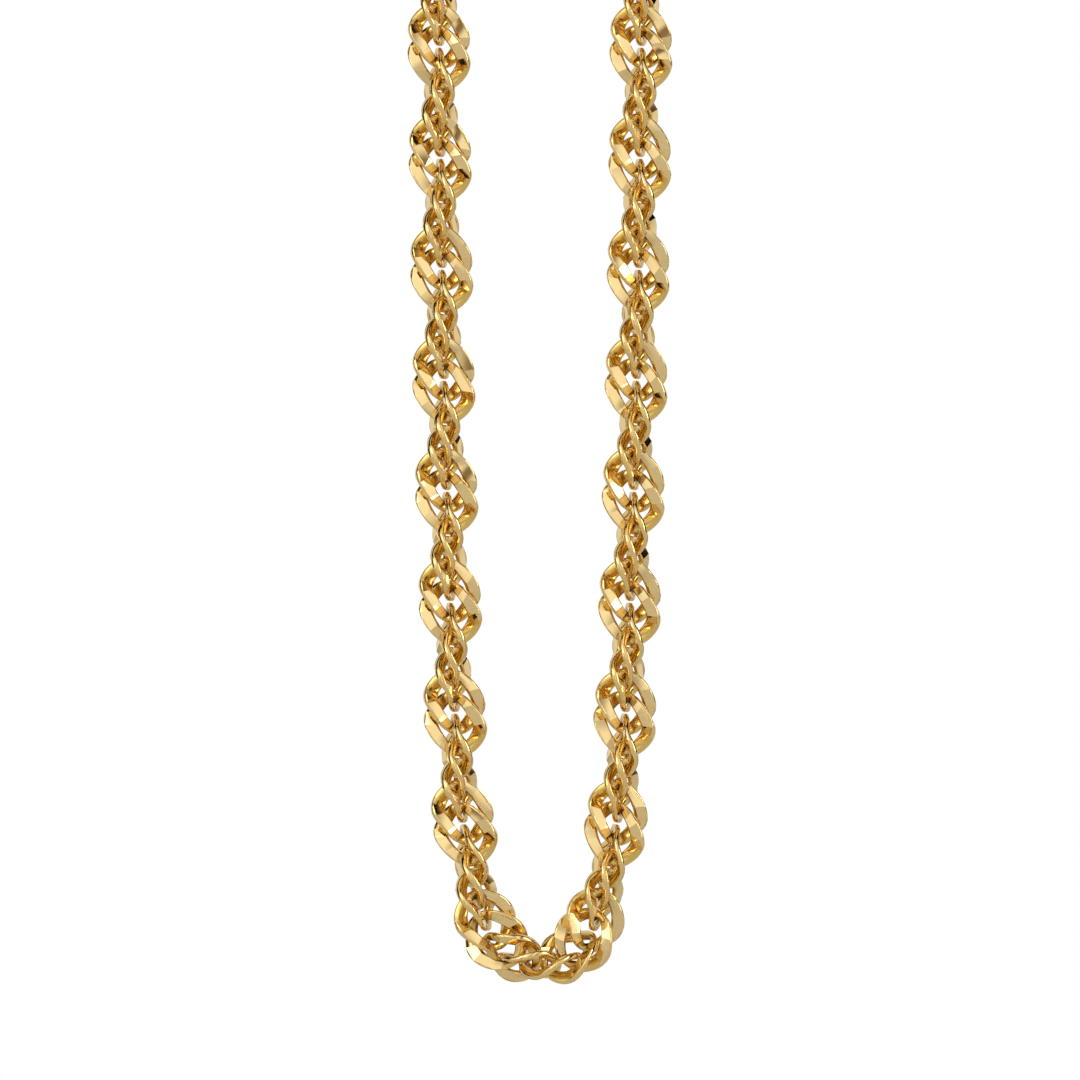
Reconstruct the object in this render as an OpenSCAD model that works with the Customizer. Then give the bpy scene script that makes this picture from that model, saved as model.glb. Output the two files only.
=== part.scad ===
// Twisted double curb neck chain with cut flats, hanging as one closed loop.
// The origin is the inside of the top of the loop, where a neck or a peg carries it.
// +Z is up, X runs across the loop and the loop lies in the XZ plane.

/* [Link] */
// Width of a link over its wire, which is also the width of the chain
link_width = 8.1; // [7.9:0.02:8.2]
// Length of a link over its wire
link_length = 8.03; // [8:0.01:8.04]
// Thickness of the wire at the two ends of a link, where other links hook on
wire_end = 0.9; // [0.8:0.01:0.94]
// Thickness of the wire at the two sides of a link
wire_side = 1.4; // [1.2:0.02:1.44]
// Depth of the wire at the two ends, measured square to the face of the link
depth_end = 1; // [0.8:0.02:1.06]
// Depth of the wire at the two sides
depth_side = 1.4; // [1.2:0.02:1.44]
// Roundness of the link's outline: 2 is an ellipse, 1 is a lozenge
outline_power = 1.8; // [1.75:0.05:1.9]
// Angle by which the middle of a link is twisted, up to its end
twist_middle = 36; // [34:1:37]
// Angle that the twist gives back near the ends
twist_return = 24; // [22:1:25]

/* [Run of the chain] */
// Distance from one link to the next on a straight stretch
pitch = 2.787; // [2.783:0.002:2.791]
// Angle by which each link is turned on from the one before it
link_turn = 36; // [35:0.5:36.5]
// Angle that the links lose on each side in the bend at the bottom of the loop
bottom_lag = 18; // [17:1:18]
// Links that hang askew in their own plane, by up to this angle
askew = 3; // [0:0.5:3.5]
// Extra angle by which the middle of a link hangs askew, with its ends in place
skew = 4; // [0:0.5:5]
// Links on each side up to which the turn is exactly as above
lower_links = 44; // [30:1:50]
// Links on each side of the loop, between its bottom and the arch on top
side_links = 74; // [70:1:74]
// Share by which the pitch shortens in a bend, for each radian of turn squared
tighten = 0.56; // [0.55:0.01:0.57]

/* [Clasp] */
// Length of the barrel
barrel_length = 10; // [8:0.5:10.5]
// Diameter of the barrel
barrel_dia = 5.2; // [4:0.2:6]
// Diameter of the wire of the two eyes
eye_wire = 1.1; // [1:0.05:1.15]
// Places on the chain that the clasp takes up, counted in links
clasp_links = 7; // [7:1:7]
// Number of links on the right side below the clasp
links_below_clasp = 60; // [50:5:60]

/* [Hidden] */

// Facets round a link and round its wire
LINK_SIDES = 10;
// The wire's outline in shares of its thickness and depth: a flat outside and a ridge inside
WIRE_OUTLINE = [[0.5, -0.34], [0.5, 0.34], [-0.1, 0.5], [-0.5, 0], [-0.1, -0.5]];
WIRE_SIDES = len(WIRE_OUTLINE);
EPS = 0.01;

half_width = (link_width - wire_side) / 2;
half_length = (link_length - wire_end) / 2;

// A power of a number that keeps its sign
function signed_pow(v, p) = sign(v) * pow(abs(v), p);

// Twist of the link's plane at a height, given as a share of its half length
function twist_at(u) = -twist_middle * u + twist_return * pow(u, 3);

// A point of the link's centre line at angle s round it, in a link skewed by an angle
function centre_at(s, skewed) =
    let (x = half_width * signed_pow(cos(s), 2 / outline_power),
         u = signed_pow(sin(s), 2 / outline_power),
         a = twist_at(u))
    [x * cos(a), x * sin(a), half_length * u - x * tan(skewed)];

// The direction outwards across the wire, in the twisted plane of the link
function outward_at(s) =
    let (a = twist_at(signed_pow(sin(s), 2 / outline_power)),
         nx = signed_pow(cos(s), 2 - 2 / outline_power) / half_width,
         nz = signed_pow(sin(s), 2 - 2 / outline_power) / half_length)
    [nx * cos(a), nx * sin(a), nz];

function unit(v) = v / norm(v);

// One ring of points round the wire, at angle s round the link
function wire_ring(s, skewed) =
    let (c = centre_at(s, skewed),
         along = unit(centre_at(s + EPS, skewed) - centre_at(s - EPS, skewed)),
         raw = outward_at(s),
         out = unit(raw - (raw * along) * along),
         across = cross(along, out),
         share = pow(abs(cos(s)), 1.5),
         thick = wire_end + (wire_side - wire_end) * share,
         depth = depth_end + (depth_side - depth_end) * share)
    [for (q = WIRE_OUTLINE) c + q[0] * thick * out + q[1] * depth * across];

// Angles round the link: corners at its two ends, flats at its two sides
function link_points(skewed) =
    [for (k = [0:LINK_SIDES - 1]) each wire_ring((k + 0.5) * 360 / LINK_SIDES, skewed)];
LINK_FACES = [for (k = [0:LINK_SIDES - 1], q = [0:WIRE_SIDES - 1])
    let (k2 = (k + 1) % LINK_SIDES, q2 = (q + 1) % WIRE_SIDES,
         a = k * WIRE_SIDES + q, b = k2 * WIRE_SIDES + q,
         c = k2 * WIRE_SIDES + q2, d = k * WIRE_SIDES + q2)
    each [[a, b, c], [a, c, d]]];

// Lean of the run from the vertical, in degrees, and how far up it reaches, in links
bottom_lean = 71;
bottom_reach = 2.4;
shoulder_lean = 7;
shoulder_at = 8.7;
upper_lean = 5.4;
upper_reach = 28;
// Links over which most of the bottom lag is lost
lag_reach = 2;
// Extra distance of the two bottom links from the bottom centre
bottom_slack = 0.04;

// Lean of the run from the vertical, i links up from the bottom of the loop:
// a tight bend at the bottom, a shoulder above it and strands that slowly draw upright
function strand_lean(i) =
    bottom_lean * exp(-pow(i / bottom_reach, 1.7))
    + shoulder_lean / (1 + exp((i - shoulder_at) / 0.9))
    + upper_lean * exp(-i / upper_reach) * max(0, 1 - i / side_links);

// Distance between two links whose directions differ by an angle
function step_for(turn) = pitch * (1 - tighten * pow(turn * PI / 180, 2));

// Places [x, z, lean] of the links on the right side, from the bottom centre upwards
function side_places(k, x, z, lean) =
    k >= side_links ? [] :
    let (next_lean = strand_lean(k + 1.5),
         mid = strand_lean(k + 1),
         d = step_for(lean - next_lean))
    concat([[x, z, lean]],
           side_places(k + 1, x + d * sin(mid), z + d * cos(mid), next_lean));

first_step = step_for(2 * (90 - strand_lean(0.5))) / 2 + bottom_slack;
SIDE = side_places(0, first_step * sin(strand_lean(0.25)),
                   first_step * cos(strand_lean(0.25)), strand_lean(0.5));

// The arch is a half circle through the top link of each side
arch_radius = SIDE[side_links - 1][0];
arch_base = SIDE[side_links - 1][1];
arch_steps = round(PI * arch_radius / (0.975 * pitch));
hang_height = arch_base + arch_radius - link_width / 2;

// Place of the link at number i: 0.5, 1.5 ... up the right side and on over the arch,
// -0.5, -1.5 ... up the left side
function place_of(i) =
    let (k = floor(abs(i)), over = (k - side_links + 1) * 180 / arch_steps)
    k < side_links
    ? [sign(i) * SIDE[k][0], SIDE[k][1] - hang_height, sign(i) * SIDE[k][2]]
    : [sign(i) * arch_radius * cos(over),
       arch_base + arch_radius * sin(over) - hang_height, -sign(i) * over];

// Total turn of the links from the bottom centre to the top of the arch, made whole
// half turns by a closing turn in the links above the strands' lower part
lower_roll = link_turn * lower_links - bottom_lag;
top_links = side_links + (arch_steps - 1) / 2;
closing_turn = (round((lower_roll + link_turn * (top_links - lower_links)) / 90) * 90
                - lower_roll) / (top_links - lower_links);

// Turn of a link about the run, 90 degrees at the bottom centre
function roll_of(i) =
    let (n = abs(i))
    90 + sign(i) * (link_turn * min(n, lower_links)
                    - bottom_lag * (1 - exp(-n / lag_reach))
                    + closing_turn * max(0, n - lower_links));

module at_place(i) {
    p = place_of(i);
    translate([p[0], 0, p[1]])
        rotate([0, i > 0 ? p[2] : 180 + p[2], 0])
            rotate([0, 0, roll_of(i)])
                children();
}

module link(i) {
    facing = cos(roll_of(i));
    at_place(i)
        rotate([0, askew * facing, 0])
            polyhedron(points = link_points(skew * facing), faces = LINK_FACES, convexity = 4);
}

// Half of the arch's links go to each side's node
arch_left = ceil((arch_steps - 1) / 2);
arch_right = arch_steps - 1 - arch_left;

module chain_left() {
    color("gold")
        for (k = [0:side_links + arch_left - 1]) link(-k - 0.5);
}

module chain_right() {
    color("gold")
        for (k = [0:side_links + arch_right - 1])
            if (k < links_below_clasp || k >= links_below_clasp + clasp_links) link(k + 0.5);
}

clasp_at = links_below_clasp + clasp_links / 2;
eye_radius = 1.95;
hook_gap = 0.2;
// Distance from the centre of the end link to the centre of the eye hooked in it
eye_reach = half_length - wire_end / 2 - hook_gap - eye_wire / 2 + eye_radius;
eye_offset = (clasp_links + 1) / 2 * pitch - eye_reach;

module clasp_eye(side) {
    end_link = clasp_at + side * (clasp_links + 1) / 2;
    rotate([0, 0, roll_of(end_link) + twist_at(-side)])
        translate([0, 0, side * eye_offset])
            rotate([0, 90, 0])
                rotate_extrude($fn = 32)
                    translate([eye_radius, 0]) circle(d = eye_wire, $fn = 20);
}

module clasp() {
    p = place_of(clasp_at);
    neck = 1.2;
    color("goldenrod")
        translate([p[0], 0, p[1]])
            rotate([0, p[2], 0]) {
                rotate_extrude($fn = 40)
                    polygon([[0, -barrel_length / 2], [1, -barrel_length / 2],
                             [barrel_dia / 2, -barrel_length / 2 + neck],
                             [barrel_dia / 2, barrel_length / 2 - neck],
                             [1, barrel_length / 2], [0, barrel_length / 2]]);
                clasp_eye(-1);
                clasp_eye(1);
            }
}

chain_left();
chain_right();
clasp();
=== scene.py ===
import bpy
import math
import numpy as np
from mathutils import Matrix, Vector


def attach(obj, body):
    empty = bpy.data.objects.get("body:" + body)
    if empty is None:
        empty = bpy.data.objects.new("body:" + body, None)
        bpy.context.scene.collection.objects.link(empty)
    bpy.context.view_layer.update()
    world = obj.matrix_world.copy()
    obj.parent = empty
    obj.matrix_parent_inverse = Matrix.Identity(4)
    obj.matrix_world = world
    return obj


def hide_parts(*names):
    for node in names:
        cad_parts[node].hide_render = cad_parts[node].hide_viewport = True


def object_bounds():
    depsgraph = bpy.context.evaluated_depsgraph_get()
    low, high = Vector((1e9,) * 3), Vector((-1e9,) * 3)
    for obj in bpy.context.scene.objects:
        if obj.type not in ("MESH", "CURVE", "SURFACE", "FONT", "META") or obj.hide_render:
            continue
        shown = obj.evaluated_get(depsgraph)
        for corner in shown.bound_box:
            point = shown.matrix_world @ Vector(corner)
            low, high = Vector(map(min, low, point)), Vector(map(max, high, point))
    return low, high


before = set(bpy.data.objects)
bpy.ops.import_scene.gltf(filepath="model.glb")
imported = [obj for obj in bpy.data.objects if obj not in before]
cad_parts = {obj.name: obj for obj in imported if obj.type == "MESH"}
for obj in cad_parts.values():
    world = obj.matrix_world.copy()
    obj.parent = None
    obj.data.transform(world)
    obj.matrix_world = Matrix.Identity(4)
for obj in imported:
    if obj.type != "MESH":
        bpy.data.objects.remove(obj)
cad_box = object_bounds()

# The studio: a white surround with two broad soft walls of light in front, a gap between them
# where the camera looks through, dark flags at both sides, and a pale floor below the chain.
# A long lens looks straight at the lowest part of the hanging loop, as the photograph does.
MM = 0.001
PHOTO_SIDE = 1080                   # pixels of the square photograph
PIXEL = 0.1255 * MM                 # real size of one of them at the chain
LOWEST_ROW = 982                    # row of pixels with the chain's lowest point
MIDDLE_COLUMN = 540                 # column of pixels midway between the two strands
CAMERA_DISTANCE = 1.3
CAMERA_REACH = 0.05, 20.0           # the nearest and the farthest that it sees
SENSOR = 36.0                       # millimetres
BACKDROP = 1.0                      # strength of the plain white that the camera sees all round
WHITE_BEHIND, FLAG = 0.85, 0.005    # strength of the surround behind the chain, and beside it
SOFT_WALL, GAP = 1.08, 0.60         # and in front of it, on the walls and in the gap between them
BELOW, FROM_ABOVE = 0.20, 1.10      # factors on the walls' strength low down and high up
CARD = 0.75                         # share of the walls' light that a card on each takes away
SHADE = (1.0, 0.56, 0.26, 1.0)      # warm colour of the surround's dark parts
WHITE = (1.0, 1.0, 1.0, 1.0)
WARM_BELOW = 0.6                    # strength below which the surround turns warm
# Where each part of the surround begins and where it is full, as a share of the direction:
# away from the camera, to the right or up
BEHIND, IN_FRONT = (0.12, 0.50), (-0.34, -0.16)
GAP_MIDDLE, GAP_SIDE = 0.05, (0.06, 0.22)
CARD_INNER, CARD_OUTER = (0.40, 0.50), (0.56, 0.66)
WALL_FOOT, WALL_HEAD = (-0.62, -0.12), (0.0, 0.6)
FLOOR_DROP, FLOOR_HALF = 0.05, 0.45     # its depth below the chain, and half of its side
FLOOR_COLOUR, FLOOR_ROUGHNESS = (0.86, 0.86, 0.85, 1), 0.6


class Value:
    """A shader value that takes part in arithmetic, each operator adding one Math node."""

    def __init__(self, tree, socket):
        self.tree, self.socket = tree, socket

    def _math(self, operation, first, second):
        node = self.tree.nodes.new("ShaderNodeMath")
        node.operation = operation
        for slot, value in zip(node.inputs, (first, second)):
            if isinstance(value, Value):
                self.tree.links.new(value.socket, slot)
            else:
                slot.default_value = value
        return Value(self.tree, node.outputs[0])

    def __add__(self, other):
        return self._math("ADD", self, other)

    def __radd__(self, other):
        return self._math("ADD", other, self)

    def __sub__(self, other):
        return self._math("SUBTRACT", self, other)

    def __rsub__(self, other):
        return self._math("SUBTRACT", other, self)

    def __mul__(self, other):
        return self._math("MULTIPLY", self, other)

    def __rmul__(self, other):
        return self._math("MULTIPLY", other, self)

    def size(self):
        """The value without its sign."""
        return self._math("ABSOLUTE", self, 0.0)


class Nodes:
    """A node tree, and one method that adds any node: its type, settings and socket values."""

    def __init__(self, tree):
        self.tree = tree

    def add(self, kind, settings=None, values=None, out=0):
        node = self.tree.nodes.new("ShaderNode" + kind)
        for name, value in (settings or {}).items():
            setattr(node, name, value)
        for slot, value in (values or {}).items():
            if isinstance(value, Value):
                self.tree.links.new(value.socket, node.inputs[slot])
            else:
                node.inputs[slot].default_value = value
        return Value(self.tree, node.outputs[out])

    def step(self, value, low, high, start=0.0, end=1.0):
        """Smooth step from start to end as the value goes from low to high."""
        return self.add("MapRange", {"interpolation_type": "SMOOTHSTEP"},
                        {0: value, 1: low, 2: high, 3: start, 4: end})


def studio_surround():
    """Strength by direction: white behind; dark flags beside; in front two soft walls with a gap
    between them and a dark upright card on each, darker low down and brighter high up. What the
    camera itself sees of the surround is plain white from every side."""
    world = bpy.data.worlds.new("surround")
    bpy.context.scene.world = world
    world.use_nodes = True
    nodes = Nodes(world.node_tree)
    direction = nodes.add("TexCoord")
    across, away, up = (nodes.add("SeparateXYZ", None, {0: direction}, out=k) for k in range(3))
    behind = nodes.step(away, *BEHIND)
    in_front = nodes.step(away, *IN_FRONT, 1.0, 0.0)
    beside_gap = nodes.step((across - GAP_MIDDLE).size(), *GAP_SIDE)
    card = nodes.step(across.size(), *CARD_INNER) - nodes.step(across.size(), *CARD_OUTER)
    wall = (GAP + (SOFT_WALL - GAP) * beside_gap) * nodes.step(up, *WALL_FOOT, BELOW, 1.0)
    wall = wall * nodes.step(up, *WALL_HEAD, 1.0, FROM_ABOVE) * (1.0 - CARD * card)
    strength = behind * WHITE_BEHIND + (1.0 - behind) * (FLAG + in_front * (wall - FLAG))
    to_camera = nodes.add("LightPath")
    strength = strength + to_camera * (BACKDROP - strength)
    colour = nodes.add("Mix", {"data_type": "RGBA"},
                       {0: nodes.step(strength, 0.0, WARM_BELOW), 6: SHADE, 7: WHITE}, out=2)
    background = world.node_tree.nodes["Background"]
    world.node_tree.links.new(colour.socket, background.inputs["Color"])
    world.node_tree.links.new(strength.socket, background.inputs["Strength"])


def softbox(name, place, aim, width, height, watts):
    """A rectangular soft light at a place, turned to face another."""
    lamp = bpy.data.lights.new(name, "AREA")
    lamp.shape = "RECTANGLE"
    lamp.size, lamp.size_y, lamp.energy = width, height, watts
    light = bpy.data.objects.new(name, lamp)
    bpy.context.scene.collection.objects.link(light)
    light.location = place
    light.rotation_euler = (Vector(aim) - Vector(place)).to_track_quat("-Z", "Y").to_euler()


camera = bpy.data.objects.new("camera", bpy.data.cameras.new("camera"))
bpy.context.scene.collection.objects.link(camera)
bpy.context.scene.camera = camera
view_middle = ((PHOTO_SIDE / 2 - MIDDLE_COLUMN) * PIXEL, 0,
               cad_box[0][2] + (LOWEST_ROW - PHOTO_SIDE / 2) * PIXEL)
camera.location = (view_middle[0], -CAMERA_DISTANCE, view_middle[2])
camera.rotation_euler = (math.radians(90), 0, 0)
camera.data.sensor_width = SENSOR
camera.data.lens = SENSOR * CAMERA_DISTANCE / (PHOTO_SIDE * PIXEL)
camera.data.clip_start, camera.data.clip_end = CAMERA_REACH
bpy.context.scene.view_settings.view_transform = "Standard"

studio_surround()
softbox("upper_left", place=(-0.5, -0.55, 0.30), aim=view_middle, width=0.45, height=0.45, watts=1.0)
softbox("right", place=(0.62, -0.30, 0.02), aim=view_middle, width=0.12, height=0.60, watts=1.0)

floor_z = cad_box[0][2] - FLOOR_DROP
floor_mesh = bpy.data.meshes.new("floor")
floor_mesh.from_pydata([(x * FLOOR_HALF, y * FLOOR_HALF, floor_z)
                        for x, y in ((-1, -1), (1, -1), (1, 1), (-1, 1))], [], [(0, 1, 2, 3)])
floor = bpy.data.objects.new("floor", floor_mesh)
bpy.context.scene.collection.objects.link(floor)
floor_paint = bpy.data.materials.new("pale_floor")
floor_paint.use_nodes = True
floor_skin = floor_paint.node_tree.nodes["Principled BSDF"]
floor_skin.inputs["Base Color"].default_value = FLOOR_COLOUR
floor_skin.inputs["Roughness"].default_value = FLOOR_ROUGHNESS
floor_mesh.materials.append(floor_paint)


# The links: closed lozenge-shaped loops of flat yellow gold wire, soldered shut, each one hooked
# into the second and the third after it. The straps' faces have been cut to flat mirror facets that
# meet in crisp lines, and the ends, which the cutter doesn't reach, stay round.
LINK_WIDTH = 8.1 * MM               # of the solids' links: the top ones rest on the origin
PITCH = 2.787 * MM                  # from one link to the next where the run is straight
TIGHTEN = 0.56                      # share that the pitch loses for each radian of turn squared
LINK_TURN = 36.0                    # degrees by which each link is turned on from the last one
BOTTOM_LAG, LAG_REACH = 18.0, 2.0   # turn that the links lose on each side in the bottom bend
BOTTOM_SLACK = 0.04 * MM            # extra distance of the two lowest links from the bottom centre
SIDE_LINKS, LOWER_LINKS = 74, 44    # links on a side up to the arch, and up to the closing turn
ARCH_PITCH_SHARE = 0.975            # share of the pitch by which they are set over the arch
BOTTOM_LEAN, BOTTOM_REACH, BOTTOM_POWER = 71.0, 2.4, 1.7        # degrees, links, steepness
SHOULDER_LEAN, SHOULDER_AT, SHOULDER_SOFTNESS = 7.0, 8.7, 0.9   # degrees, links, links
UPPER_LEAN, UPPER_REACH = 5.4, 28.0                             # degrees, links
CLASP_LINKS, LINKS_BELOW_CLASP = 7, 60      # places that the clasp takes up, links below it


def strand_lean(number):
    """Lean of the run from the vertical in degrees: a bell for the tight bend at the bottom, a step
    down at the shoulder above it, and a long fade as the strands draw together up to the arch."""
    return (BOTTOM_LEAN * np.exp(-(number / BOTTOM_REACH) ** BOTTOM_POWER)
            + SHOULDER_LEAN / (1 + np.exp((number - SHOULDER_AT) / SHOULDER_SOFTNESS))
            + UPPER_LEAN * np.exp(-number / UPPER_REACH) * np.maximum(0, 1 - number / SIDE_LINKS))


def step_for(turn):
    """Distance between two links whose directions differ by an angle."""
    return PITCH * (1 - TIGHTEN * np.radians(turn) ** 2)


# Places up one side: each step goes the way that the run leans midway between its two links
numbers = np.arange(SIDE_LINKS) + 0.5
leans = strand_lean(numbers)
first_step = step_for(2 * (90 - leans[0])) / 2 + BOTTOM_SLACK
first_lean = np.radians(strand_lean(numbers[0] / 2))
steps = step_for(leans[:-1] - leans[1:])
step_leans = np.radians(strand_lean(numbers[:-1] + 0.5))
side_x = first_step * math.sin(first_lean) + np.append(0, np.cumsum(steps * np.sin(step_leans)))
side_z = first_step * math.cos(first_lean) + np.append(0, np.cumsum(steps * np.cos(step_leans)))
arch_radius = side_x[-1]
arch_steps = round(math.pi * arch_radius / (ARCH_PITCH_SHARE * PITCH))
hang_height = side_z[-1] + arch_radius - LINK_WIDTH / 2

# The turn of each side comes to whole quarter turns at the top, so that the two sides meet alike
top_number = SIDE_LINKS + (arch_steps - 1) / 2
lower_roll = LINK_TURN * LOWER_LINKS - BOTTOM_LAG
quarter_turns = round((lower_roll + LINK_TURN * (top_number - LOWER_LINKS)) / 90)
closing_turn = (quarter_turns * 90 - lower_roll) / (top_number - LOWER_LINKS)


def place_of(number):
    """Place (x, z) and lean of a link: 0.5, 1.5 ... up the right side, -0.5, -1.5 ... up the left,
    and in equal steps over a half circle past the last link of each side."""
    side, count = math.copysign(1, number), int(abs(number))
    if count < SIDE_LINKS:
        return side * side_x[count], side_z[count] - hang_height, side * leans[count]
    over = (count - SIDE_LINKS + 1) * 180 / arch_steps
    return (side * arch_radius * math.cos(math.radians(over)),
            side_z[-1] + arch_radius * math.sin(math.radians(over)) - hang_height, -side * over)


def roll_of(number):
    """Turn of a link about the run in degrees, 90 at the bottom centre: even, less the lag of the
    bottom bend, plus the closing turn above the lower links."""
    count = abs(number)
    return 90 + math.copysign(1, number) * (LINK_TURN * min(count, LOWER_LINKS)
                                            - BOTTOM_LAG * (1 - math.exp(-count / LAG_REACH))
                                            + closing_turn * max(0, count - LOWER_LINKS))


arch_left = math.ceil((arch_steps - 1) / 2)
left_numbers = [-k - 0.5 for k in range(SIDE_LINKS + arch_left)]
right_numbers = [k + 0.5 for k in range(SIDE_LINKS + arch_steps - 1 - arch_left)
                 if not LINKS_BELOW_CLASP <= k < LINKS_BELOW_CLASP + CLASP_LINKS]
LEFT_LOWER, RIGHT_LOWER = 41, 38    # links of each side that go into its lower piece

# A link on the bench, in millimetres. Of two values, the first is for the strands and the second
# for the bend at the bottom
LINK_HALF_WIDTH = 3.98              # over the wire
LINE_HALF_LENGTH = 3.565            # of the wire's centre line
BAND_SIDE = 1.78                    # width of the strap, in the link's plane
BAND_END = 0.92, 0.90               # and at the link's ends
BAND_FADE = 0.65, 1.0               # power of the narrowing: low keeps a strap wide up to the ends
DEPTH_SIDE = 0.92, 0.86             # its thickness, square to the link's plane
DEPTH_END = 0.82, 0.76              # and at the link's ends
OUTLINE_POWER = 1.55, 1.8           # 2 is an ellipse, 1 a lozenge
TWIST_MIDDLE = 33.0, 36.0           # degrees of twist from the middle to an end, the other way
TWIST_RETURN = 30.0, 24.0           # from the chain's own, and what the ends give back of it
SKEW = 10.0, 4.0                    # degrees that its corners slip up by on the left, seen in front
ASKEW = 0.5                         # degrees by which the whole link hangs askew
BEND_REACH, BEND_POWER = 5.0, 4     # links that the bend takes in, and how sharply it ends
SETTLED_UP_TO = 50                  # links from the bottom centre that hang free
# How these settle flat or on edge: waves in a turn, and each wave's size and start in degrees
SETTLED = (2, 10.0, 30.7), (4, -10.0, -9.0)
# The wire's outline in columns: share of its width outwards, and share of its thickness square to
# the link's plane where it is cut and where it is round
STRAP_WIRE = np.array([
    (0.50, -0.36, -0.17), (0.51, 0.00, 0.00), (0.50, 0.36, 0.17), (0.44, 0.48, 0.31),
    (0.07, 0.49, 0.50), (-0.30, 0.48, 0.38), (-0.43, 0.33, 0.25), (-0.49, 0.12, 0.09),
    (-0.49, -0.12, -0.09), (-0.43, -0.33, -0.25), (-0.30, -0.48, -0.38), (0.07, -0.49, -0.50),
    (0.44, -0.48, -0.31)])
BACK_COLUMNS, FRONT_COLUMNS = np.array([3, 4, 5]), np.array([10, 11, 12])     # of the flats
CREASE_COLUMNS, RIM_COLUMNS = np.array([3, 5, 10, 12]), np.array([12, 0, 1, 2, 3])
FACET_EDGES = np.array([13, 42, 68, 112, 138, 167])     # degrees round half a link
FACET_ROWS = np.array([5, 4, 6, 4, 5, 3])               # rows of faces from each edge to the next
FRONT_CUT = np.array([True, True, False, False, False, True])   # which facets there are in front
BACK_CUT = np.array([False, False, False, True, True, True])    # and at the back
CUT_MIDDLE, CUT_REACH, CUT_FADE = 27.5, 40.5, 12.0      # degrees: the front's cut stretch, its fading
EDGE_SHIFT = np.array([1.5, 6.0, 2.0, 2.0, 6.0, 1.5])   # degrees by which an edge is off its place
SHIFT_LIMIT = 1.8                   # times that much is the most that an edge is off
EDGE_SLANT = 10.0                   # degrees by which it runs slanting over the strap
FACET_TILT = 0.04                   # millimetres by which the cutter was deeper or shallower
FIRST_SEED = 1000
NEARBY = 1e-4                       # radians to each side that give the direction along the wire


def signed_power(value, power):
    """A power of the value's size, with the value's sign."""
    return np.sign(value) * np.abs(value) ** power


def link_shape(number):
    """Outline power, twist, its return, skew, and the wire's width at the ends, depth at ends and
    sides, and fading, of a link: from the bend's to the strands' along a flat-topped bell."""
    bend = math.exp(-(abs(number) / BEND_REACH) ** BEND_POWER)
    return [strand + (bottom - strand) * bend for strand, bottom in (
        OUTLINE_POWER, TWIST_MIDDLE, TWIST_RETURN, SKEW, BAND_END, DEPTH_END, DEPTH_SIDE, BAND_FADE)]


def link_line(s, shape):
    """Centre line of the wire at angle s: a superellipse whose plane turns with the height, by a
    cubic that is fast in the middle and gives some back near the ends."""
    power, middle, back = shape[:3]
    x = (LINK_HALF_WIDTH - BAND_SIDE / 2) * signed_power(np.cos(s), 2 / power)
    u = signed_power(np.sin(s), 2 / power)
    turn = np.radians(-middle * u + back * u ** 3)
    return np.stack([x * np.cos(turn), x * np.sin(turn), LINE_HALF_LENGTH * u], -1), turn


def wire_surface(s, out_share, across_share, shape):
    """Points of the wire's skin: the centre line, plus shares of the band's width outwards and of
    its thickness across. Also returns the direction across."""
    centre, turn = link_line(s, shape)
    along = link_line(s + NEARBY, shape)[0] - link_line(s - NEARBY, shape)[0]
    along /= np.linalg.norm(along, axis=-1, keepdims=True)
    radial = signed_power(np.cos(s), 2 - 2 / shape[0]) / (LINK_HALF_WIDTH - BAND_SIDE / 2)
    upward = signed_power(np.sin(s), 2 - 2 / shape[0]) / LINE_HALF_LENGTH
    outward = np.stack([radial * np.cos(turn), radial * np.sin(turn), upward], -1)
    outward -= (outward * along).sum(-1, keepdims=True) * along
    outward /= np.linalg.norm(outward, axis=-1, keepdims=True)
    across = np.cross(along, outward)
    band_end, depth_end, depth_side, fade = shape[4:]
    share = np.abs(np.cos(s)) ** fade
    band = band_end + (BAND_SIDE - band_end) * share
    depth = depth_end + (depth_side - depth_end) * share
    return (centre + (band * out_share)[..., None] * outward
            + (depth * across_share)[..., None] * across), across


def cut_section(s):
    """Share of the wire's thickness at which each column lies at angle s: the flat outline on the
    side that faces out of the chain there, fading into the round one on the other."""
    wrapped = np.degrees(s)[..., None] * np.array([1, -1]) - CUT_MIDDLE
    outside = np.abs((wrapped + 90) % 180 - 90) - CUT_REACH
    front, back = np.moveaxis(np.clip(1 - outside / CUT_FADE, 0, 1), -1, 0)
    flatness = np.where(STRAP_WIRE[:, 1] < 0, front, back)
    return STRAP_WIRE[:, 2] + (STRAP_WIRE[:, 1] - STRAP_WIRE[:, 2]) * flatness


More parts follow.
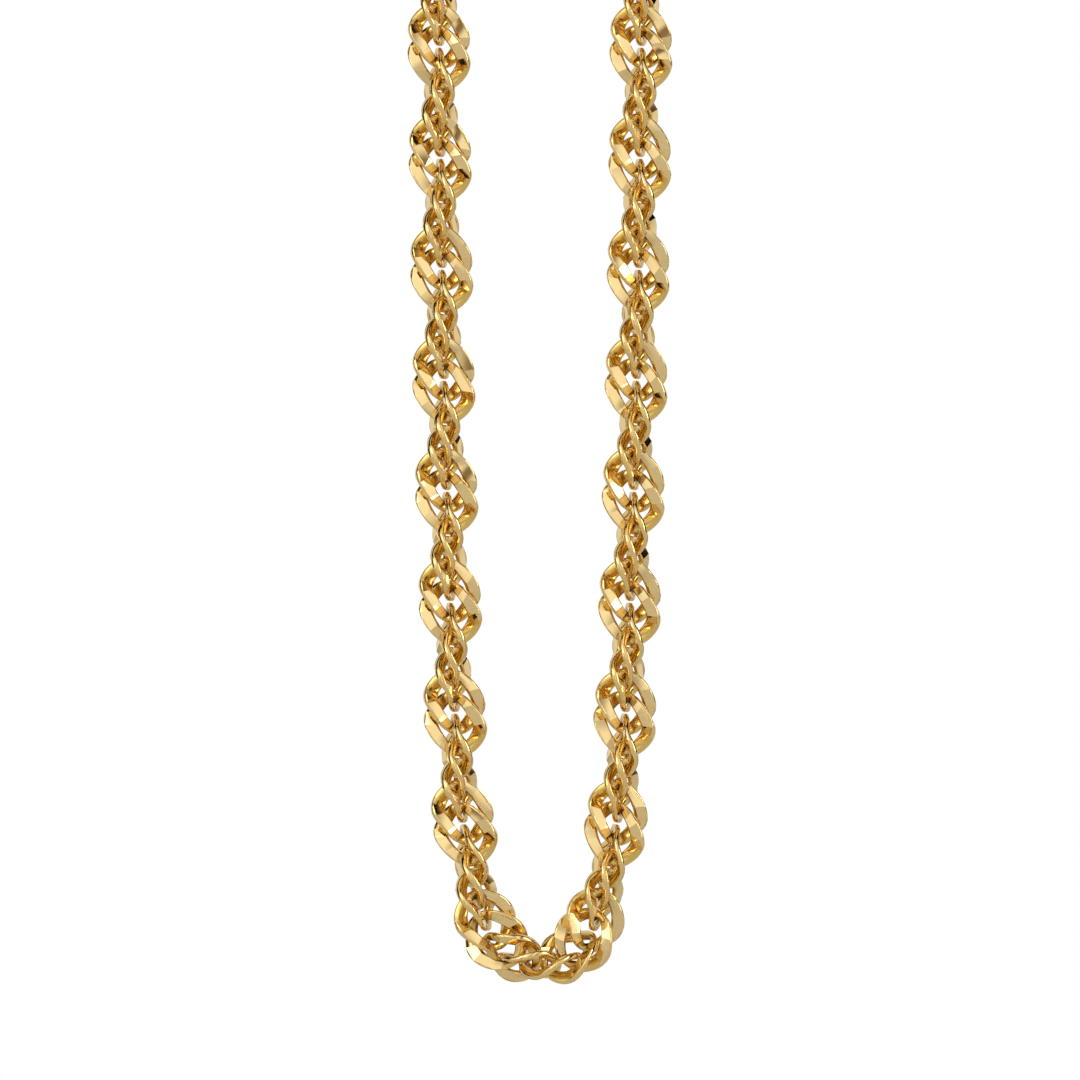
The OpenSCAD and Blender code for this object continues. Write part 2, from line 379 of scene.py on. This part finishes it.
def bench_link(number):
    """One link as a grid, round the link by round the wire. Rows follow the facets' slanting edges;
    on a cut strap the flat columns run straight from one edge to the next, and each edge is set a
    little deeper or shallower at its two ends. Returns the points, which rows are edges, and which
    points are cut."""
    chance = np.random.default_rng(FIRST_SEED + int(number * 2))
    edges = np.concatenate([FACET_EDGES, FACET_EDGES + 180])
    rows = np.tile(FACET_ROWS, 2)
    shift = chance.normal(0, 1, len(edges)).clip(-SHIFT_LIMIT, SHIFT_LIMIT) * np.tile(EDGE_SHIFT, 2)
    begin = edges + shift
    slant = chance.uniform(-EDGE_SLANT, EDGE_SLANT, len(edges))
    facet = np.repeat(np.arange(len(edges)), rows)
    share = np.concatenate([np.arange(n) / n for n in rows])
    to_next = np.append(begin[1:], begin[0] + 360) - begin
    slant_step = np.roll(slant, -1) - slant
    out_share = STRAP_WIRE[:, 0]
    angle = np.radians((begin[facet] + to_next[facet] * share)[:, None]
                       + (slant[facet] + slant_step[facet] * share)[:, None] * out_share)
    points, across = wire_surface(angle, np.broadcast_to(out_share, angle.shape), cut_section(angle),
                                  link_shape(number))
    is_edge = share == 0
    level, tilt = chance.normal(0, FACET_TILT, (2, len(edges), 1)).clip(-2 * FACET_TILT, FACET_TILT)
    side = np.zeros(len(STRAP_WIRE))
    side[BACK_COLUMNS], side[FRONT_COLUMNS] = 1, -1
    edge_points = points[is_edge] + ((level + tilt * 2 * out_share) * side)[..., None] * across[is_edge]
    straight = (edge_points[facet] * (1 - share)[:, None, None]
                + np.roll(edge_points, -1, 0)[facet] * share[:, None, None])
    facet_cut = np.where(side < 0, np.tile(FRONT_CUT, 2)[:, None], np.tile(BACK_CUT, 2)[:, None])
    cut = (facet_cut[facet] | is_edge[:, None] & np.roll(facet_cut, 1, 0)[facet]) & (side != 0)
    return np.where(cut[..., None], straight, points), is_edge, cut


def rotation(axis, degrees):
    """Rotation matrix about the Y or the Z axis."""
    c, s = math.cos(math.radians(degrees)), math.sin(math.radians(degrees))
    return np.array({"y": [[c, 0, s], [0, 1, 0], [-s, 0, c]],
                     "z": [[c, -s, 0], [s, c, 0], [0, 0, 1]]}[axis])


def settled_turn(number):
    """Turn of a link as it hangs: the even turn, plus waves of it where the strand hangs free, so
    that the links settle into flat leaves with narrow waists between."""
    side, count = math.copysign(1, number), abs(number)
    seen = side * roll_of(number)
    free = (1 - math.exp(-(count / BEND_REACH) ** BEND_POWER)) / (1 + math.exp(count - SETTLED_UP_TO))
    sway = sum(size * math.sin(math.radians(waves * seen + start)) for waves, size, start in SETTLED)
    return roll_of(number) + side * free * sway


def hang_link(points, number):
    """A bench link's points at its place in the chain: skewed, hung askew, rolled, leant, moved."""
    x, z, lean = place_of(number)
    facing = math.cos(math.radians(settled_turn(number)))
    skewed = points * MM
    skewed[..., 2] -= skewed[..., 0] * math.tan(math.radians(link_shape(number)[3] * facing))
    turn = (rotation("y", lean if number > 0 else 180 + lean) @ rotation("z", settled_turn(number))
            @ rotation("y", ASKEW * facing))
    return skewed @ turn.T + np.array([x, 0, z])


def closed_grid(rows, columns):
    """Faces of a grid that is closed both ways."""
    index = np.arange(rows * columns).reshape(rows, columns)
    beyond = np.roll(index, -1, 0)
    return np.stack([index, beyond, np.roll(beyond, -1, 1), np.roll(index, -1, 1)], -1).reshape(-1, 4)


TUMBLED_GOLD, CUT_GOLD = (0.80, 0.55, 0.17, 1), (0.88, 0.66, 0.31, 1)
TUMBLED_ROUGHNESS, CUT_SMOOTHER = 0.19, 0.11        # and how much less rough a cut is
CLOUD_TINT, CLOUD_SHARE, CLOUD_ROUGHNESS = (0.90, 0.82, 0.66, 1), 0.12, 0.06
CLOUD_SCALE, SCRATCH_SCALE = 320.0, 5200.0          # waves in a metre
SCRATCH_STRENGTH, SCRATCH_DEPTH = 0.05, 0.00001     # a share, and metres
PAINTED_SHADE_TINT = (0.20, 0.11, 0.06, 1)     # painted shade deep in the hooks, where gold reflects only darkened gold
RIM_POLISH = 0.6                        # the outer rim is burnished by wear, nearly as bright as a cut
PAINTED_SHADE_INWARD = 2.2                     # how soon the painted shade is full from the wire's middle inwards
PAINTED_SHADE_RISE, PAINTED_SHADE_START = 2.0, 0.9    # and how soon from the link's middle towards an end


def gold_shader():
    """Polished yellow gold: paler and mirror-bright on the cut facets and partly on the burnished
    rim, a little warmer and softer where it is only tumbled, and painted dark brown shade in the
    recesses of the hooks, with faint clouds in the polish and very fine scratches."""
    gold = bpy.data.materials.new("polished_gold")
    gold.use_nodes = True
    nodes = Nodes(gold.node_tree)
    place = nodes.add("TexCoord", out=3)
    cut = nodes.add("Attribute", {"attribute_name": "cut"}, out=2)
    painted_recess_shade = nodes.add("Attribute", {"attribute_name": "painted_recess_shade"}, out=2)
    cloud = nodes.add("TexNoise", None, {"Vector": place, "Scale": CLOUD_SCALE, "Detail": 3.0})
    scratch = nodes.add("TexNoise", None, {"Vector": place, "Scale": SCRATCH_SCALE, "Detail": 2.0})
    tint = nodes.add("Mix", {"data_type": "RGBA"}, {0: cut, 6: TUMBLED_GOLD, 7: CUT_GOLD}, out=2)
    clouded = nodes.add("Mix", {"data_type": "RGBA", "blend_type": "MULTIPLY"},
                        {0: cloud * CLOUD_SHARE, 6: tint, 7: CLOUD_TINT}, out=2)
    # painted shade: the colour is multiplied towards dark brown in the hooks' recesses, where shade
    # falls
    colour = nodes.add("Mix", {"data_type": "RGBA", "blend_type": "MULTIPLY"},
                       {0: painted_recess_shade, 6: clouded, 7: PAINTED_SHADE_TINT}, out=2)
    roughness = TUMBLED_ROUGHNESS - CUT_SMOOTHER * cut + (cloud - 0.5) * CLOUD_ROUGHNESS
    bump = nodes.add("Bump", None, {"Strength": SCRATCH_STRENGTH, "Distance": SCRATCH_DEPTH,
                                    "Height": scratch})
    skin = gold.node_tree.nodes["Principled BSDF"]
    skin.inputs["Metallic"].default_value = 1.0
    gold.node_tree.links.new(colour.socket, skin.inputs["Base Color"])
    gold.node_tree.links.new(roughness.socket, skin.inputs["Roughness"])
    gold.node_tree.links.new(bump.socket, skin.inputs["Normal"])
    return gold


def links_mesh(name, points):
    """Mesh of a stretch of links, each a grid that is closed both ways. Returns it and its faces."""
    links, rows, columns = points.shape[:3]
    one_link = closed_grid(rows, columns)[:, ::-1]      # turned over, so that its faces point outwards
    faces = (one_link + np.arange(links)[:, None, None] * rows * columns).reshape(-1, 4)
    mesh = bpy.data.meshes.new(name)
    mesh.vertices.add(links * rows * columns)
    mesh.vertices.foreach_set("co", points.astype(np.float32).ravel())
    mesh.loops.add(faces.size)
    mesh.loops.foreach_set("vertex_index", faces.astype(np.int32).ravel())
    mesh.polygons.add(len(faces))
    mesh.polygons.foreach_set("loop_start", np.arange(0, faces.size, 4, dtype=np.int32))
    mesh.update(calc_edges=True)
    return mesh, faces


def mark_creases(mesh, is_edge, cut):
    """Marks the crisp lines of the cut straps as sharp: the facets' edges, which follow a row across
    the strap, and the strap's long edges, which follow a column. Everything else is smooth."""
    columns, size = cut.shape[2], cut[0].size
    ends = np.empty(len(mesh.edges) * 2, np.int32)
    mesh.edges.foreach_get("vertices", ends)
    ends = ends.reshape(-1, 2)
    row, column = ends % size // columns, ends % size % columns
    crosswise = (row[:, 0] == row[:, 1]) & is_edge[ends[:, 0] // size, row[:, 0]]
    lengthwise = (column[:, 0] == column[:, 1]) & np.isin(column[:, 0], CREASE_COLUMNS)
    sharp = mesh.attributes.new("sharp_edge", "BOOLEAN", "EDGE")
    sharp.data.foreach_set("value", (crosswise | lengthwise) & cut.ravel()[ends].all(1))


def mark_finish(mesh, faces, points, cut):
    """Marks each face as cut, in part on the rim, and with its share of painted shade in the hooks'
    recesses: the more it looks inwards and the nearer it is to an end of its link."""
    column = faces % cut.shape[2]
    in_cut = cut.ravel()[faces].all(1)
    on_rim = ~in_cut & np.isin(column, RIM_COLUMNS).all(1)
    height = points[..., 2].ravel()[faces].mean(1) / LINE_HALF_LENGTH
    # painted shade: faces that look inwards near a link's end, where shade falls in the hooks
    inward = np.clip(-PAINTED_SHADE_INWARD * STRAP_WIRE[column, 0].mean(1), 0, 1)
    near_end = np.clip(np.abs(height) * PAINTED_SHADE_RISE - PAINTED_SHADE_START, 0, 1)
    for finish, share in (("cut", in_cut + RIM_POLISH * on_rim), ("painted_recess_shade", inward * near_end)):
        mark = mesh.attributes.new(finish, "FLOAT", "FACE")
        mark.data.foreach_set("value", share.astype(np.float32))


def link_piece(name, link_numbers, node):
    """Joins a stretch of links into one piece."""
    bench, is_edge, cut = map(np.stack, zip(*map(bench_link, link_numbers)))
    mesh, faces = links_mesh(name, np.stack(list(map(hang_link, bench, link_numbers))))
    mark_creases(mesh, is_edge, cut)
    mark_finish(mesh, faces, bench, cut)
    mesh.materials.append(gold)
    piece = bpy.data.objects.new(name, mesh)
    bpy.context.scene.collection.objects.link(piece)
    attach(piece, "root")
    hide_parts(node)


gold = gold_shader()
link_piece("links_left_lower", left_numbers[:LEFT_LOWER], "chain_left")
link_piece("links_left_upper", left_numbers[LEFT_LOWER:], "chain_left")
link_piece("links_right_lower", right_numbers[:RIGHT_LOWER], "chain_right")
link_piece("links_right_upper", right_numbers[RIGHT_LOWER:], "chain_right")


# The clasp: a plain turned barrel of the same gold, with a rim round each end and a fine seam in its
# middle, and on both ends a fixed ring that passes through the last link. It is soldered into one
# piece, and closes the chain high on the right strand.
BARREL_LENGTH, BARREL_RADIUS = 10.0, 2.6        # millimetres
# From one end to the middle: share of half the length, and of the radius
BARREL_PROFILE = np.array([
    (1.000, 0.28), (0.995, 0.38), (0.975, 0.46), (0.880, 0.72), (0.845, 0.80), (0.835, 0.90),
    (0.820, 0.97), (0.790, 1.00), (0.740, 1.00), (0.710, 0.97), (0.700, 0.92), (0.690, 0.92),
    (0.400, 0.965), (0.100, 0.975), (0.022, 0.975), (0.016, 0.94)])
BARREL_ROUND = 64                               # points round the barrel
RING_RADIUS, RING_WIRE = 1.95, 0.8              # of its centre line, and thickness of its wire
RING_PLAY = 0.21                                # between a ring and the end of its link
RING_ROWS, RING_COLUMNS = 64, 24                # points round a ring and round its wire
# From the middle of the end link to the middle of the ring that is hooked into it
RING_REACH = LINE_HALF_LENGTH - BAND_END[0] / 2 - RING_PLAY - RING_WIRE / 2 + RING_RADIUS
CREASE_ANGLE = 38                               # degrees of bend above which an edge is sharp


def turned_barrel():
    """The profile and its mirror image spun round Z, as rings of points, with a point on the axis at
    both ends. Returns points and faces."""
    heights = np.concatenate([BARREL_PROFILE[:, 0], -BARREL_PROFILE[::-1, 0]]) * BARREL_LENGTH / 2
    radii = np.concatenate([BARREL_PROFILE[:, 1], BARREL_PROFILE[::-1, 1]]) * BARREL_RADIUS
    angle = np.linspace(0, 2 * np.pi, BARREL_ROUND, endpoint=False)
    rings = np.stack([radii[:, None] * np.cos(angle), radii[:, None] * np.sin(angle),
                      np.broadcast_to(heights[:, None], (len(radii), BARREL_ROUND))], -1).reshape(-1, 3)
    here = np.arange(len(rings)).reshape(len(radii), BARREL_ROUND)
    beside = np.roll(here, -1, 1)
    sides = np.stack([here[1:], beside[1:], beside[:-1], here[:-1]], -1).reshape(-1, 4)
    top, bottom = np.full(BARREL_ROUND, len(rings)), np.full(BARREL_ROUND, len(rings) + 1)
    caps = np.concatenate([np.stack([top, here[0], beside[0]], -1),
                           np.stack([bottom, beside[-1], here[-1]], -1)])
    poles = [(0, 0, heights[0]), (0, 0, heights[-1])]
    return np.concatenate([rings, poles]), sides.tolist() + caps.tolist()


def clasp_ring(side, place):
    """A torus in the plane of the wire that it hooks, with its centre a set distance up or down."""
    around, section = np.meshgrid(np.linspace(0, 2 * np.pi, RING_ROWS, endpoint=False),
                                  np.linspace(0, 2 * np.pi, RING_COLUMNS, endpoint=False), indexing="ij")
    out = RING_RADIUS + RING_WIRE / 2 * np.cos(section)
    ring = np.stack([RING_WIRE / 2 * np.sin(section), out * np.cos(around), out * np.sin(around)], -1)
    end_link = place + side * (CLASP_LINKS + 1) / 2
    turn = rotation("z", roll_of(end_link) + side * (TWIST_MIDDLE[0] - TWIST_RETURN[0]))
    ring = ring @ turn.T + np.array([0, 0, side * ((CLASP_LINKS + 1) / 2 * PITCH / MM - RING_REACH)])
    return ring.reshape(-1, 3), closed_grid(RING_ROWS, RING_COLUMNS).tolist()


clasp_place = LINKS_BELOW_CLASP + CLASP_LINKS / 2
clasp_x, clasp_z, clasp_lean = place_of(clasp_place)
clasp_points, clasp_faces = turned_barrel()
for side in (-1, 1):
    ring_points, ring_faces = clasp_ring(side, clasp_place)
    clasp_faces += [[corner + len(clasp_points) for corner in face] for face in ring_faces]
    clasp_points = np.concatenate([clasp_points, ring_points])
clasp_points = clasp_points * MM @ rotation("y", clasp_lean).T + np.array([clasp_x, 0, clasp_z])
clasp_mesh = bpy.data.meshes.new("barrel_clasp")
clasp_mesh.from_pydata(clasp_points.tolist(), [], clasp_faces)
clasp_mesh.polygons.foreach_set("use_smooth", np.ones(len(clasp_mesh.polygons), bool))
clasp_mesh.set_sharp_from_angle(angle=math.radians(CREASE_ANGLE))
clasp_mesh.materials.append(gold)
clasp = bpy.data.objects.new("barrel_clasp", clasp_mesh)
bpy.context.scene.collection.objects.link(clasp)
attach(clasp, "root")
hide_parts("clasp")
